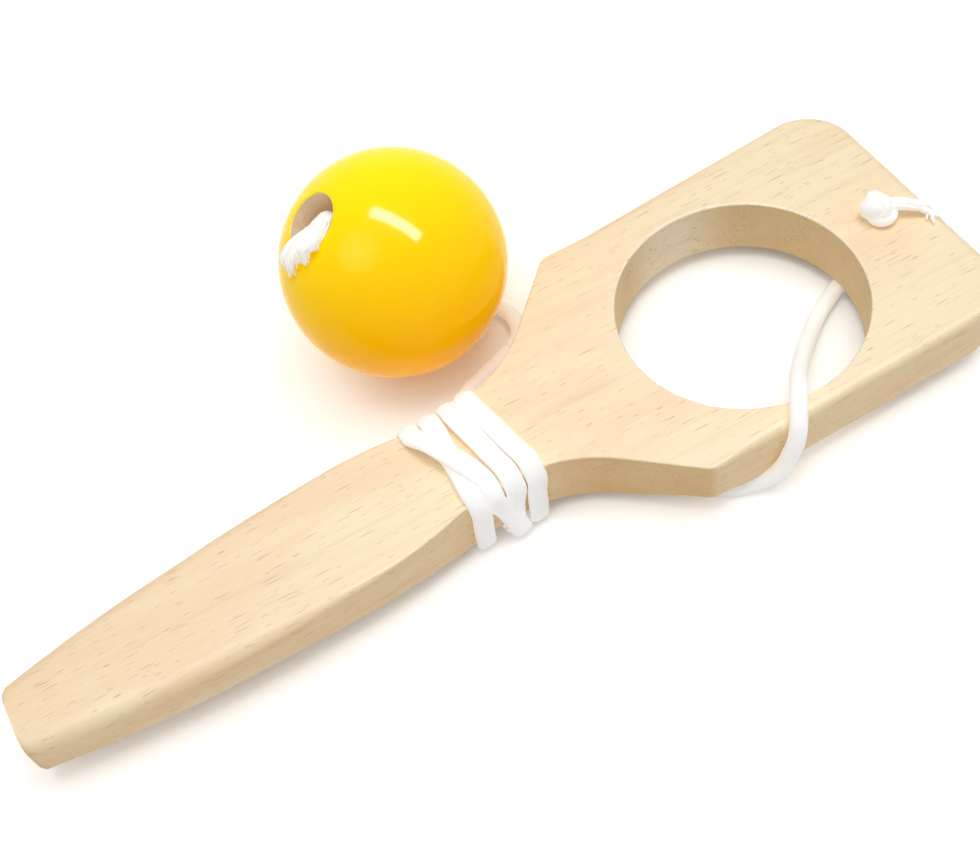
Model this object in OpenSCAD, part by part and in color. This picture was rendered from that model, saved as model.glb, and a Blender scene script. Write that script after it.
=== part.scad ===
// Catching toy: a flat beech paddle with a round hole, and a drilled ball on a cord.
// The paddle lies on its own cord, which is wound round the waist, and the ball rests beside it.
// The modules work from the ring's centre along the paddle's middle line, and set_down() moves
// them so that the origin is under the middle of the paddle and the ball, on the table.

/* [Paddle] */
// Length of the paddle from butt to tip
paddle_l = 204; // [190:1:220]
// Thickness of the board
board_t = 14; // [12:0.5:18]
// Width of the head at the shoulders
shoulder_w = 61.6; // [60:0.2:63]
// Width of the head at the tip
tip_w = 64; // [62:0.2:68]
// Radius of the tip's two corners
tip_r = 11; // [6:0.5:16]
// Distance from the ring's centre to the tip
tip_reach = 44.8; // [42:0.2:50]
// Distance from the ring's centre back to the shoulders
shoulder_back = 26.4; // [24:0.2:28]
// Radius that softens each shoulder
shoulder_r = 4; // [2:0.5:6]
// Soft edge round the head
head_edge = 2; // [1:0.1:3]

/* [Catch ring] */
// Diameter of the hole that catches the ball
ring_d = 50; // [48.5:0.5:52]
// How far the hole lies off the paddle's middle line
ring_off = 2.4; // [0:0.2:3]
// Bevel on both rims of the hole
ring_bevel = 0.5; // [0.2:0.1:1]

/* [Waist and handle] */
// Width of the waist that the cord is wound on
waist_w = 21; // [19:0.5:21.5]
// Distance from the ring's centre back to the waist's front end
waist_back = 60; // [58:0.5:61]
// Length of the waist's straight part
waist_run = 6; // [4:0.5:8]
// Radius of the flare between waist and shoulders
flare_r = 30; // [27:0.5:32]
// Greatest width of the handle
handle_w = 26.4; // [25:0.2:30]
// Distance from the ring's centre back to the handle's widest point
belly_back = 102; // [96:1:108]
// Width of the handle at its butt
butt_w = 15.2; // [12:0.2:18]
// Small chamfer on the butt's corners
butt_cut = 1; // [0.5:0.1:2]
// How far the handle lies off the head's middle line
handle_off = 1.6; // [0:0.1:2]
// Soft edge at the waist
waist_edge = 0.5; // [0.3:0.1:0.8]
// Soft edge on top of the handle
upper_edge = 3.5; // [2:0.1:4]
// Soft edge under the handle
lower_edge = 6.4; // [4:0.1:6.6]

/* [Ball] */
// Diameter of the ball
ball_d = 47; // [44:0.5:48]
// Diameter of the wide hole that hides the knot
knot_hole_d = 12.4; // [11:0.2:14]
// Depth of the wide hole along its wall
knot_hole_depth = 16; // [14:0.5:18]
// Diameter of the cord's hole through the rest of the ball
ball_hole_d = 5.6; // [5:0.2:7]
// Bevel round the wide hole's mouth
mouth_bevel = 0.4; // [0.2:0.1:0.8]

/* [Cord] */
// Diameter of the cord
cord_d = 3.4; // [3:0.1:3.5]
// Diameter of the hole that ties the cord to the tip
tip_hole_d = 4.8; // [4.2:0.2:5.6]
// Distance from the tip hole to the tip
tip_hole_in = 9.8; // [9:0.2:10.6]
// Countersink under the tip hole
tip_hole_sink = 1.2; // [0.8:0.1:1.6]

/* [Hidden] */
$fn = 96;

// Cord: it lies this far off the wood, and is pressed flat by a tenth where the paddle stands on it
cord_gap = 0.15;
cord_r = cord_d / 2;
press = cord_d / 10;
lift = cord_gap + cord_d - press;
top_z = lift + board_t;
mid_z = lift + board_t / 2;
low_z = lift - cord_gap - cord_r;

// Where the ball lies, and the way its hole points
ball_r = ball_d / 2;
ball_at = [-53.6, 43.2, ball_r];
bore_turn = 165;
bore_lean = 35;

// Frame: the middle of the paddle and the ball, seen from above
butt_x = tip_reach - paddle_l;
mid_x = tip_reach - paddle_l / 2;
mid_y = (ball_at.y + ball_r - tip_w / 2) / 2;

// Head: corner circles at the tip, and the straight side that runs to them from the shoulder
tip_c = [tip_reach - tip_r, tip_w / 2 - tip_r];
shoulder = [-shoulder_back, shoulder_w / 2];
side_a = way(tip_c - shoulder) + asin(tip_r / norm(tip_c - shoulder));

// Flare: a hollow curve off the waist, then the straight line that runs from it to the shoulder
flare_c = [-waist_back, waist_w / 2 + flare_r];
flare_a = way(flare_c - shoulder) - 180 + asin(flare_r / norm(flare_c - shoulder));
shoulder_cut = shoulder_r * tan((flare_a - side_a) / 2);
shoulder_c = shoulder + shoulder_cut * dir(side_a) - shoulder_r * dir(side_a + 90);
rear_c = flare_c - [waist_run, 0];

// Handle: it begins on the waist's rear curve
join_run = 4;
join_x = rear_c.x - join_run;
join_half = rear_c.y - sqrt(flare_r * flare_r - join_run * join_run);
belly_x = -belly_back;
off_run = 70;
handle_steps = 16;

// Soft edges: the upper one grows from ahead of the belly, the lower one from behind the waist
upper_ahead = 18;
upper_run = 36;
lower_behind = 7;
lower_run = 40;
edge_run = 10;
edge_limit = 0.8;
edge_steps = 4;

// Knots: rings of cord round a core
knot_r = 1.4;
knot_ring = 1.75;
knot_core = 2;
knot_lean = 65;
knot_turn = 30;
knot_rise = 0.9 * knot_ring;
tip_hole_x = tip_reach - tip_hole_in;
knot_shift = [-0.2, -0.8];
knot_at = [tip_hole_x + knot_shift.x, knot_shift.y, top_z + cord_gap];
tail_r = 1.2;
mouth_z = sqrt(ball_r * ball_r - knot_hole_d * knot_hole_d / 4);
seat_z = mouth_z - knot_hole_depth;

// Winding: each pass starts and ends at these stations along the paddle, under and over by turns
turn_r = 2.6;
loose = 0.4;
pile = 4;
passes = [
    [-68.7, -62], [-62.6, -71], [-73.4, -67.2], [-67.6, -66],
    [-64.6, -58], [-58.4, -61.5], [-60.4, -54.1], [-54, -56.4]
];
piled_pass = 1;
wind_h = board_t / 2 + cord_gap + cord_r;
wind_in = 12.5;
end_run = 1;
swing_gap = 0.3;

// Route of the cord from the tip's hole, through the ring, over the rim and under the neck
tip_route = [
    [35, 0, 17.1], [35.1, 0, 13.5], [35.2, 0, 9], [35.2, 0, 4.8], [34.7, 0, 3.1], [33.5, -0.1, 1.8],
    [31.8, -0.3, 1.4], [29, -0.9, 1.4], [25.6, -1.8, 1.5], [22, -3.2, 1.7], [18.4, -5, 1.9],
    [14.8, -7.4, 2.6], [11, -10.4, 4.2], [7.4, -13.6, 6.7], [3.8, -17.2, 10], [0.6, -20.6, 13.6],
    [-2.2, -23.8, 17], [-4.4, -26.8, 18.9], [-6, -29.6, 19.3], [-7.3, -32.2, 18.4], [-8.1, -33.5, 15.2],
    [-8.8, -33.7, 11.5], [-9.9, -33.6, 8], [-11.6, -33.3, 5], [-14, -32.6, 3], [-17, -31.3, 1.7],
    [-20.3, -29.2, 1.4], [-23.4, -26.2, 1.4], [-27, -21.8, 1.4], [-31, -16, 1.4], [-35, -9.6, 1.4],
    [-39, -3, 1.4], [-43, 3.4, 1.4], [-46.8, 9, 1.4], [-50.4, 13.4, 1.4], [-54, 16.3, 1.4],
    [-57.6, 17.3, 1.4], [-61, 17.5, 1.4], [-64, 17.3, 1.4], [-66.4, 16.4, 1.4], [-68, 14.8, 1.4]
];

// Route of the cord from the winding down to the table and round into the ball
ball_route = [
    [-56.3, 12.6, 10], [-55.8, 14, 8], [-54.7, 16.4, 6.3], [-53, 18.9, 4.6], [-51, 20.8, 2.8],
    [-48.4, 22.2, 1.8], [-45, 23.4, 1.7], [-41.8, 24.4, 1.7], [-39, 25.4, 1.7], [-36.7, 27, 1.7],
    [-35.2, 29.4, 1.7], [-34.8, 32.2, 1.7], [-35.3, 35, 1.7], [-36.6, 37.2, 2], [-38.4, 38.7, 2.8]
];

// Free ends, the tip's from its knot and the ball's along its own hole, measured from its centre
tip_end = [
    [37.9, -2.4, 2.4], [38.8, -3.1, 2.5], [39.8, -3.9, 2.3], [40.9, -4.7, 1.9], [41.9, -5.6, 1.6],
    [42.4, -6.8, 1.4], [42.3, -8.1, 1.3], [41.8, -9.3, 1.4]
];
ball_end = [
    [-1.6, 0.2, 13.4], [-2.6, -0.6, 16.5], [-3.2, -0.4, 19.5], [-2.8, 0.8, 22], [-1.2, 2.4, 24],
    [1.4, 3.8, 25.3], [4.4, 4.6, 25.6], [7.4, 5, 25], [9.6, 5, 24]
];

// Plane and space helpers
function dir(a) = [cos(a), sin(a)];
function way(v) = atan2(v.y, v.x);
function unit(v) = v / norm(v);
function clamp(v) = min(1, max(0, v));
function across(v) = unit(abs(v.z) < 0.8 ? cross(v, [0, 0, 1]) : cross(v, [0, 1, 0]));

// Points of an arc with the way each one faces, +1 for a bulge and -1 for a hollow
function arc(c, r, from, to, n, face = 1) =
    [for (i = [0 : n]) let (a = from + (to - from) * i / n) [c + r * dir(a), face * dir(a)]];

// Half the handle's width at x: one curve to the butt, another to the waist
function handle_half(x) =
    x < belly_x
        ? handle_w / 2 - (handle_w - butt_w) / 2 * pow((belly_x - x) / (belly_x - butt_x), 2)
        : handle_w / 2 - (handle_w / 2 - join_half) * pow((x - belly_x) / (join_x - belly_x), 3);

// Half the waist's width at x, with the handle behind it
function waist_half(x) =
    x < join_x ? handle_half(x)
    : x < rear_c.x ? rear_c.y - sqrt(flare_r * flare_r - pow(rear_c.x - x, 2))
    : x < flare_c.x ? waist_w / 2
    : flare_c.y - sqrt(flare_r * flare_r - pow(x - flare_c.x, 2));

// How far the middle line has moved at x, from the shoulders back along the handle
function axis_off(x) =
    let (f = clamp((shoulder.x - x) / off_run))
    -handle_off * f * f * (3 - 2 * f);

// Soft edge at x, where the paddle is so far to the side: it grows along the grip and again on the head
function edge_at(x, half, upper) =
    let (
        grip = upper
            ? (upper_edge - waist_edge) * clamp((belly_x + upper_ahead - x) / upper_run)
            : (lower_edge - waist_edge) * sqrt(clamp((rear_c.x - lower_behind - x) / lower_run)),
        head = (head_edge - waist_edge) * clamp((x - shoulder.x) / edge_run)
    )
    min(waist_edge + grip + head, edge_limit * abs(half));

// One side of the paddle's outline from butt to tip, each point with the way it faces
function side_line() = concat(
    [[[butt_x, butt_w / 2 - butt_cut], [0, 1]]],
    [for (i = [0 : handle_steps - 1])
        let (x = butt_x + butt_cut + (join_x - butt_x - butt_cut) * i / handle_steps)
        [[x, handle_half(x)], [0, 1]]],
    arc(rear_c, flare_r, -90 - asin(join_run / flare_r), -90, 2, -1),
    arc(flare_c, flare_r, -90, -90 + flare_a, 6, -1),
    arc(shoulder_c, shoulder_r, 90 + flare_a, 90 + side_a, 4),
    [[shoulder + edge_run * dir(side_a), dir(side_a + 90)]],
    arc(tip_c, tip_r, 90 + side_a, 0, 8)
);

// The whole outline, down one side and back up the other
function outline() =
    let (side = side_line(), n = len(side))
    concat(side, [for (i = [n - 1 : -1 : 0]) [[side[i][0].x, -side[i][0].y], [side[i][1].x, -side[i][1].y]]]);

// One ring of the paddle's skin, part of the way round its soft edge from a flat face
function edge_ring(line, step, upper) =
    let (a = 90 * step / edge_steps)
    [for (p = line)
        let (
            r = edge_at(p[0].x, p[0].y, upper),
            at = p[0] - r * (1 - sin(a)) * p[1],
            drop = r * (1 - cos(a))
        )
        [at.x, at.y + axis_off(p[0].x), upper ? top_z - drop : lift + drop]];

// Rings of a tube along a path, carried forward without twist
function tube_rings(path, r, sides) =
    let (
        n = len(path),
        run = [for (i = [0 : n - 1]) unit(path[min(i + 1, n - 1)] - path[max(i - 1, 0)])]
    )
    [for (i = 0, u = across(run[0]); i < n;
          i = i + 1, u = i < n ? unit(u - (u * run[i]) * run[i]) : u)
        let (w = cross(run[i], u))
        [for (j = [0 : sides - 1]) path[i] + r * (cos(360 * j / sides) * u + sin(360 * j / sides) * w)]];

// Half the winding's own width at x, and one ring centre: side and level are +1 or -1
function wind_half(x) = waist_half(x) + cord_r + loose;
function wind_at(x, side, level, a) =
    [x, axis_off(x) + side * (wind_half(x) - turn_r + turn_r * cos(a)),
     mid_z + level * (wind_h - turn_r + turn_r * sin(a))];

// One pass across the waist: a corner, the flat and the other corner, with the wall that follows
function pass_line(k) =
    let (
        x0 = passes[k][0],
        x1 = passes[k][1],
        level = k % 2 == 0 ? -1 : 1,
        side = -level,
        next = k + 1 < len(passes) ? (x1 + passes[k + 1][0]) / 2 : x1,
        hump = k == piled_pass ? pile : 0
    )
    concat(
        k == 0
            ? [[x0, wind_in, mid_z - wind_h], [x0, wind_in - cord_d, mid_z - wind_h]]
            : [for (i = [0 : 3]) wind_at(x0, side, level, 30 * i)],
        [for (f = [0.25, 0.5, 0.75])
            let (x = x0 + (x1 - x0) * f)
            [x, axis_off(x) + side * (wind_half(x) - turn_r) * (1 - 2 * f),
             mid_z + level * wind_h + hump * (1 - pow(2 * f - 1, 4))]],
        [for (i = [3 : -1 : 0]) wind_at(x1, -side, level, 30 * i)],
        k + 1 < len(passes)
            ? [[next, axis_off(next) - side * wind_half(next), mid_z]]
            : [[x1, axis_off(x1) - side * wind_half(x1), mid_z + wind_h - turn_r - cord_d]]
    );
wind_line = [for (k = [0 : len(passes) - 1]) each pass_line(k)];

// Least gap of the winding to itself, between points that are more than a corner apart
wind_fine = [for (i = [0 : len(wind_line) - 2], f = [0, 0.5]) wind_line[i] * (1 - f) + wind_line[i + 1] * f];
wind_apart = 16;
wind_gap = min([for (i = [0 : len(wind_fine) - 1], j = [i + wind_apart : len(wind_fine) - 1])
    norm(wind_fine[i] - wind_fine[j])]) - cord_d;
echo(loops = len(passes) / 2, least_gap = wind_gap);

// Closed skin over a row of rings with as many points each, its ends laced from side to side
module skin(rings) {
    n = len(rings[0]);
    last = (len(rings) - 1) * n;
    sides = [for (i = [0 : len(rings) - 2], j = [0 : n - 1])
        let (a = i * n + j, b = i * n + (j + 1) % n)
        each [[a, a + n, b], [b, a + n, b + n]]];
    lace = [for (j = [0 : n / 2 - 2]) each [[j, j + 1, n - 2 - j], [j, n - 2 - j, n - 1 - j]]];
    ends = [for (f = lace) each [f, [last + f[2], last + f[1], last + f[0]]]];
    polyhedron(points = [for (r = rings) each r], faces = concat(sides, ends));
}

// Moves a piece from the ring's own frame to the part's frame
module set_down() {
    translate([-mid_x, -mid_y, 0]) children();
}

// Moves a piece from the frame of the ball's hole, Z out of its wide mouth, to the ball's place
module in_ball() {
    translate(ball_at) rotate([0, bore_lean, bore_turn]) children();
}

// Keeps what stands above the table
module on_table() {
    room = 2 * paddle_l;
    intersection() {
        children();
        translate([-room / 2, -room / 2, 0]) cube([room, room, room]);
    }
}

// Round hole through the board with a bevel at both rims
module ring_hole() {
    r = ring_d / 2;
    past = 1;
    translate([0, -ring_off, lift - past]) cylinder(r = r, h = board_t + 2 * past);
    for (flip = [0, 1])
        translate([0, -ring_off, flip ? top_z : lift]) mirror([0, 0, flip]) translate([0, 0, -past])
            cylinder(r1 = r + ring_bevel + past, r2 = r, h = ring_bevel + past);
}

// Hole for the knotted end, countersunk below so that the cord can turn under the board
module tip_hole() {
    r = tip_hole_d / 2;
    past = 1;
    translate([tip_hole_x, 0, lift - past]) cylinder(r = r, h = board_t + 2 * past);
    translate([tip_hole_x, 0, lift - past])
        cylinder(r1 = r + tip_hole_sink + past, r2 = r, h = tip_hole_sink + past);
}

// Two rings of cord round a core, on the plane z = 0
module knot() {
    translate([0, 0, knot_r]) cord_ring();
    translate([0, 0, knot_r + knot_rise]) rotate([knot_lean, 0, knot_turn]) cord_ring();
    translate([0, 0, knot_core]) sphere(knot_core);
}

module cord_ring() {
    rotate_extrude() translate([knot_ring, 0]) circle(knot_r);
}

module paddle() {
    line = outline();
    rings = concat(
        [for (k = [0 : edge_steps]) edge_ring(line, k, false)],
        [for (k = [edge_steps : -1 : 0]) edge_ring(line, k, true)]
    );
    color("burlywood") set_down() difference() {
        skin(rings);
        ring_hole();
        tip_hole();
    }
}

module ball() {
    past = 2;
    rim_r = knot_hole_d / 2;
    color("gold") set_down() in_ball() difference() {
        sphere(ball_r);
        translate([0, 0, seat_z]) cylinder(r = rim_r, h = ball_r);
        translate([0, 0, -ball_r - past]) cylinder(d = ball_hole_d, h = 2 * ball_r);
        translate([0, 0, mouth_z - mouth_bevel])
            cylinder(r1 = rim_r, r2 = rim_r + mouth_bevel + past, h = mouth_bevel + past);
    }
}

module tip_tail() {
    color("ivory") set_down() translate([0, 0, top_z]) skin(tube_rings(tip_end, tail_r, 8));
}

module tip_knot() {
    color("ivory") set_down() translate(knot_at) knot();
}

module tip_cord() {
    path = concat(tip_route, [wind_line[0] + [0, end_run, 0], wind_line[0]]);
    color("ivory") set_down() on_table() skin(tube_rings(path, cord_r, 8));
}

module neck_winding() {
    color("ivory") set_down() on_table() skin(tube_rings(wind_line, cord_r, 6));
}

// The last stretch runs up the ball's own hole to the knot's underside
module ball_cord() {
    lean = [for (z = [-ball_r, -ball_r + 2 * cord_d, 0, seat_z])
        ball_at + z * [sin(bore_lean) * cos(bore_turn), sin(bore_lean) * sin(bore_turn), cos(bore_lean)]];
    start = wind_line[len(wind_line) - 1] - [0, 0, swing_gap];
    path = concat([start, start - [0, 0, end_run]], ball_route, lean);
    color("ivory") set_down() on_table() skin(tube_rings(path, cord_r, 8));
}

module ball_knot() {
    color("ivory") set_down() in_ball() translate([0, 0, seat_z + cord_gap]) knot();
}

module ball_tail() {
    color("ivory") set_down() in_ball() skin(tube_rings(ball_end, cord_r, 8));
}

paddle();
ball();
tip_tail();
tip_knot();
tip_cord();
neck_winding();
ball_cord();
ball_knot();
ball_tail();
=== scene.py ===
import math
import random

import bmesh
import bpy
from mathutils import Matrix, Vector, noise


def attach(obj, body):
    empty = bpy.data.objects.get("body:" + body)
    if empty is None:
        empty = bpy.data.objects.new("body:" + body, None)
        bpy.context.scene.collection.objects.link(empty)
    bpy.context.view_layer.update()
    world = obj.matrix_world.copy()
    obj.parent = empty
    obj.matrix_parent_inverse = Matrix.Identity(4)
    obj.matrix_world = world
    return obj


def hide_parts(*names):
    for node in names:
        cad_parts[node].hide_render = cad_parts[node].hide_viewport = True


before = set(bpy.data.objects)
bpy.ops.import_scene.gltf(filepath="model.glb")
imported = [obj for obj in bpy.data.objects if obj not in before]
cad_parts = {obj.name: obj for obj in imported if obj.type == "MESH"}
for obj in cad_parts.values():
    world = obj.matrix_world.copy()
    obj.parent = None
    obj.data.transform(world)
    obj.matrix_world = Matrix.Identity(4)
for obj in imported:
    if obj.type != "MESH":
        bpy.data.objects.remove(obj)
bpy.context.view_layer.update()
mm = 0.001
perMetre = (1000, 1000, 1000)  # the materials count in millimetres
ringSpot = Vector((57.2, -17.35, 0))  # routes and sizes start at the catching hole, on the head's middle line
print("frame loaded")


def put(p):
    return (Vector(p) + ringSpot) * mm


def clamp(v):
    return max(0.0, min(1.0, v))


def ease(f):
    f = clamp(f)
    return f * f * (3 - 2 * f)


def meshPiece(name, verts, faces, materials, body, faceSlots=None, uvs=None):
    mesh = bpy.data.meshes.new(name)
    mesh.from_pydata([tuple(v) for v in verts], [], faces)
    for m in materials:
        mesh.materials.append(m)
    if faceSlots:
        mesh.polygons.foreach_set("material_index", faceSlots)
    mesh.polygons.foreach_set("use_smooth", [True] * len(mesh.polygons))
    if uvs:
        layer = mesh.uv_layers.new(name="along")
        layer.data.foreach_set("uv", [c for uv in uvs for c in uv])
    mesh.validate()
    mesh.update()
    piece = bpy.data.objects.new(name, mesh)
    bpy.context.scene.collection.objects.link(piece)
    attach(piece, body)
    return piece


# the photographed view: straight lens, no shift
cameraSet = {
    "at": (-98.16, -133.11, 235.87),
    "right": (0.85569, -0.49794, -0.14090),
    "up": (0.49120, 0.69584, 0.52395),
    "lens": 49.59, "sensor": 36, "clip": (0.01, 20),
}


def placeCamera(s):
    data = bpy.data.cameras.new("photoCamera")
    data.sensor_fit = "HORIZONTAL"
    data.sensor_width = s["sensor"]
    data.lens = s["lens"]
    data.clip_start, data.clip_end = s["clip"]
    cam = bpy.data.objects.new("photoCamera", data)
    right = Vector(s["right"]).normalized()
    up = Vector(s["up"])
    up = (up - right * up.dot(right)).normalized()
    turn = Matrix((right, up, right.cross(up))).transposed().to_4x4()
    cam.matrix_world = Matrix.Translation(put(s["at"])) @ turn
    bpy.context.scene.collection.objects.link(cam)
    bpy.context.scene.camera = cam


placeCamera(cameraSet)
print("camera placed")


# node helpers
def addNode(tree, kind, at=(0, 0), **settings):
    n = tree.nodes.new(kind)
    n.location = at
    for k, v in settings.items():
        setattr(n, k, v)
    return n


def wire(tree, a, b):
    tree.links.new(a, b)


def feed(tree, v, socket):
    if hasattr(v, "links"):
        wire(tree, v, socket)
    else:
        socket.default_value = v


def setIn(node, **values):
    for k, v in values.items():
        node.inputs[k.replace("_", " ")].default_value = v


def mathNode(tree, op, *values, at=(0, 0)):
    n = addNode(tree, "ShaderNodeMath", at, operation=op)
    for v, socket in zip(values, n.inputs):
        feed(tree, v, socket)
    return n.outputs[0]


def rangeNode(tree, v, low, high, toLow=0.0, toHigh=1.0, at=(0, 0), smooth=True):
    kind = "SMOOTHSTEP" if smooth else "LINEAR"
    n = addNode(tree, "ShaderNodeMapRange", at, interpolation_type=kind)
    wire(tree, v, n.inputs["Value"])
    setIn(n, From_Min=low, From_Max=high, To_Min=toLow, To_Max=toHigh)
    return n.outputs["Result"]


def mixColor(tree, fac, a, b, at=(0, 0), blend="MIX"):
    n = addNode(tree, "ShaderNodeMix", at, data_type="RGBA", blend_type=blend)
    factor, first, second = n.inputs[0], n.inputs[6], n.inputs[7]  # a mix of colours uses these sockets
    for v, socket in ((fac, factor), (a, first), (b, second)):
        feed(tree, v, socket)
    return n.outputs[2]


def stretched(tree, vector, scale, at=(0, 0), offset=(0, 0, 0), turn=(0, 0, 0)):
    n = addNode(tree, "ShaderNodeMapping", at)
    wire(tree, vector, n.inputs["Vector"])
    setIn(n, Scale=scale, Location=offset, Rotation=turn)
    return n.outputs[0]


def noiseNode(tree, vector, scale, detail, rough, warp, at=(0, 0)):
    n = addNode(tree, "ShaderNodeTexNoise", at)
    wire(tree, vector, n.inputs["Vector"])
    setIn(n, Scale=scale, Detail=detail, Roughness=rough, Distortion=warp)
    return n.outputs["Fac"]


def stretchedNoise(tree, vector, s, at):
    return noiseNode(tree, stretched(tree, vector, s["stretch"], at), *s["noise"], at=(at[0] + 200, at[1]))


def newGroup(name, ins):
    g = bpy.data.node_groups.new(name, "ShaderNodeTree")
    outs = [("Color", "NodeSocketColor"), ("Roughness", "NodeSocketFloat"), ("Height", "NodeSocketFloat")]
    for way, sockets in (("INPUT", ins), ("OUTPUT", outs)):
        for n, kind in sockets:
            g.interface.new_socket(name=n, in_out=way, socket_type=kind)
    return g, addNode(g, "NodeGroupInput", (-1400, 0)), addNode(g, "NodeGroupOutput", (900, 0))


# beech: a slow drift from cream to pink, fine fibre, thin ray flecks along the grain and a few open pores
figureSet = {
    "drift": {"stretch": (0.020, 0.085, 0.11), "noise": (1.0, 3, 0.55, 0.5)},
    "driftBand": (0.36, 0.66),
    "driftAlong": -0.001,  # pinker towards the butt
    "fibre": {"stretch": (0.09, 2.4, 2.4), "noise": (1.0, 4, 0.6, 0.3)},
    "fibreShade": (0.35, 0.75, 0, 0.07),
    "fibreGloss": (0.3, 0.7, 0.46, 0.60),
    "fibreRise": 0.30,
    "streak": {"stretch": (0.014, 0.55, 0.7), "noise": (1.0, 2, 0.5, 0.4)},
    "streakShade": (0.50, 0.78, 0, 0.11),
    "bend": {"stretch": (0.05, 0.2, 0.2), "noise": (1.0, 1, 0.5, 0.0)},
    "bendReach": 1.6,
    "longDash": {"stretch": (0.11, 1.55, 1.55), "offset": (0, 0, 0), "edge": (0.28, 0.10), "rare": 0.20},
    "shortDash": {"stretch": (0.24, 1.90, 1.90), "offset": (5.3, 2.1, 8.4), "edge": (0.25, 0.10), "rare": 0.20},
    "pore": {"stretch": (0.15, 0.75, 0.75), "offset": (3.1, 7.7, 1.3), "edge": (0.16, 0.06), "rare": 0.55},
    "faintest": 0.05,
    "dashDepth": 0.4,
    "cutGrainAndShadeBand": (0.08, 0.6),
    "sideShadeBand": (0.75, 0.3),
}


def grainMarks(g, grain, s, y):
    cells = addNode(g, "ShaderNodeTexVoronoi", (-700, y), feature="F1")
    wire(g, stretched(g, grain, s["stretch"], (-880, y), offset=s["offset"]), cells.inputs["Vector"])
    setIn(cells, Scale=1.0, Randomness=1.0)
    pick = addNode(g, "ShaderNodeSeparateColor", (-520, y - 80))
    wire(g, cells.outputs["Color"], pick.inputs[0])
    shape = rangeNode(g, cells.outputs["Distance"], *s["edge"], at=(-520, y))
    depth = rangeNode(g, pick.outputs[0], s["rare"], 1.0, figureSet["faintest"], 1.0, at=(-340, y - 80))
    return mathNode(g, "MULTIPLY", shape, depth, at=(-160, y))


def beechFigureGroup(s):
    g, i, o = newGroup("beechFigure", [
        ("Grain", "NodeSocketVector"), ("Pale", "NodeSocketColor"), ("Pink", "NodeSocketColor"),
        ("Fleck Color", "NodeSocketColor"), ("Fleck", "NodeSocketFloat"), ("Pores", "NodeSocketFloat"),
        ("Facing", "NodeSocketVector"), ("Side Tone", "NodeSocketColor"), ("Cut Tone", "NodeSocketColor")])
    grain, fleckColor = i.outputs["Grain"], i.outputs["Fleck Color"]
    place = addNode(g, "ShaderNodeSeparateXYZ", (-1200, 700))
    wire(g, grain, place.inputs[0])
    drift = stretchedNoise(g, grain, s["drift"], (-1200, 500))
    drift = mathNode(g, "MULTIPLY_ADD", place.outputs["X"], s["driftAlong"], drift, at=(-900, 600))
    pinkness = rangeNode(g, drift, *s["driftBand"], at=(-800, 500))
    color = mixColor(g, pinkness, i.outputs["Pale"], i.outputs["Pink"], (-600, 500))
    fibre = stretchedNoise(g, grain, s["fibre"], (-1200, 250))
    streak = stretchedNoise(g, grain, s["streak"], (-1200, 50))
    shade = mathNode(g, "ADD", rangeNode(g, fibre, *s["fibreShade"], at=(-800, 250)),
                     rangeNode(g, streak, *s["streakShade"], at=(-800, 50)), at=(-600, 200))
    color = mixColor(g, shade, color, fleckColor, (-400, 400))

    bend = stretchedNoise(g, grain, s["bend"], (-1400, -250))
    wander = addNode(g, "ShaderNodeCombineXYZ", (-1050, -250))
    wire(g, mathNode(g, "MULTIPLY", bend, s["bendReach"], at=(-1120, -330)), wander.inputs["Y"])
    moved = addNode(g, "ShaderNodeVectorMath", (-900, -250), operation="ADD")
    wire(g, grain, moved.inputs[0])
    wire(g, wander.outputs[0], moved.inputs[1])
    longDash, shortDash, pore = [grainMarks(g, moved.outputs[0], s[kind], y) for kind, y in (
        ("longDash", -350), ("shortDash", -550), ("pore", -750))]
    dashes = mathNode(g, "MAXIMUM", longDash, shortDash, at=(0, -400))
    dashTone = mathNode(g, "MULTIPLY", dashes, i.outputs["Fleck"], at=(150, -400))
    color = mixColor(g, dashTone, color, fleckColor, (320, 300))
    pit = mathNode(g, "MULTIPLY", pore, i.outputs["Pores"], at=(150, -700))
    color = mixColor(g, pit, color, fleckColor, (500, 200))

    facing = addNode(g, "ShaderNodeSeparateXYZ", (-600, 800))
    wire(g, i.outputs["Facing"], facing.inputs[0])
    endwise = mathNode(g, "ABSOLUTE", facing.outputs["X"], at=(-400, 800))
    upright = mathNode(g, "ABSOLUTE", facing.outputs["Z"], at=(-400, 650))
    cut = rangeNode(g, endwise, *s["cutGrainAndShadeBand"], at=(-200, 800))
    # painted shade: upright sides are multiplied by a darker side colour
    side = rangeNode(g, upright, *s["sideShadeBand"], at=(-200, 650))
    color = mixColor(g, side, color, i.outputs["Side Tone"], (600, 400), "MULTIPLY")
    # end grain and painted shade: upright faces turned along the length are multiplied by a darker cut colour
    endGrainAndShade = mathNode(g, "MULTIPLY", cut, side, at=(0, 700))
    color = mixColor(g, endGrainAndShade, color, i.outputs["Cut Tone"], (680, 200), "MULTIPLY")
    wire(g, color, o.inputs["Color"])
    wire(g, rangeNode(g, fibre, *s["fibreGloss"], at=(500, -200)), o.inputs["Roughness"])
    low = mathNode(g, "ADD", mathNode(g, "MULTIPLY", dashes, s["dashDepth"], at=(320, -550)), pit, at=(480, -600))
    rise = mathNode(g, "MULTIPLY", fibre, s["fibreRise"], at=(320, -450))
    wire(g, mathNode(g, "SUBTRACT", rise, low, at=(640, -500)), o.inputs["Height"])
    return g


# cotton: soft lengthwise fibre with a slow twist, measured along the strand; its low places are painted a darker cream
# as shade
napSet = {
    "lay": (6.0, 0.42, 0), "layWarp": 1.6, "layDetail": 2.0, "layDetailScale": 1.5, "layRise": 0.30,
    "hairs": {"stretch": (26, 0.55, 0), "noise": (1.0, 3, 0.6, 0.6)}, "hairRise": 0.4,
    "nap": (1.3, 4, 0.65, 0.4), "napRise": 0.4,
    "hollowBand": (0.25, 0.7), "napGloss": (0.3, 0.7, 0.75, 0.95),
}


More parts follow.
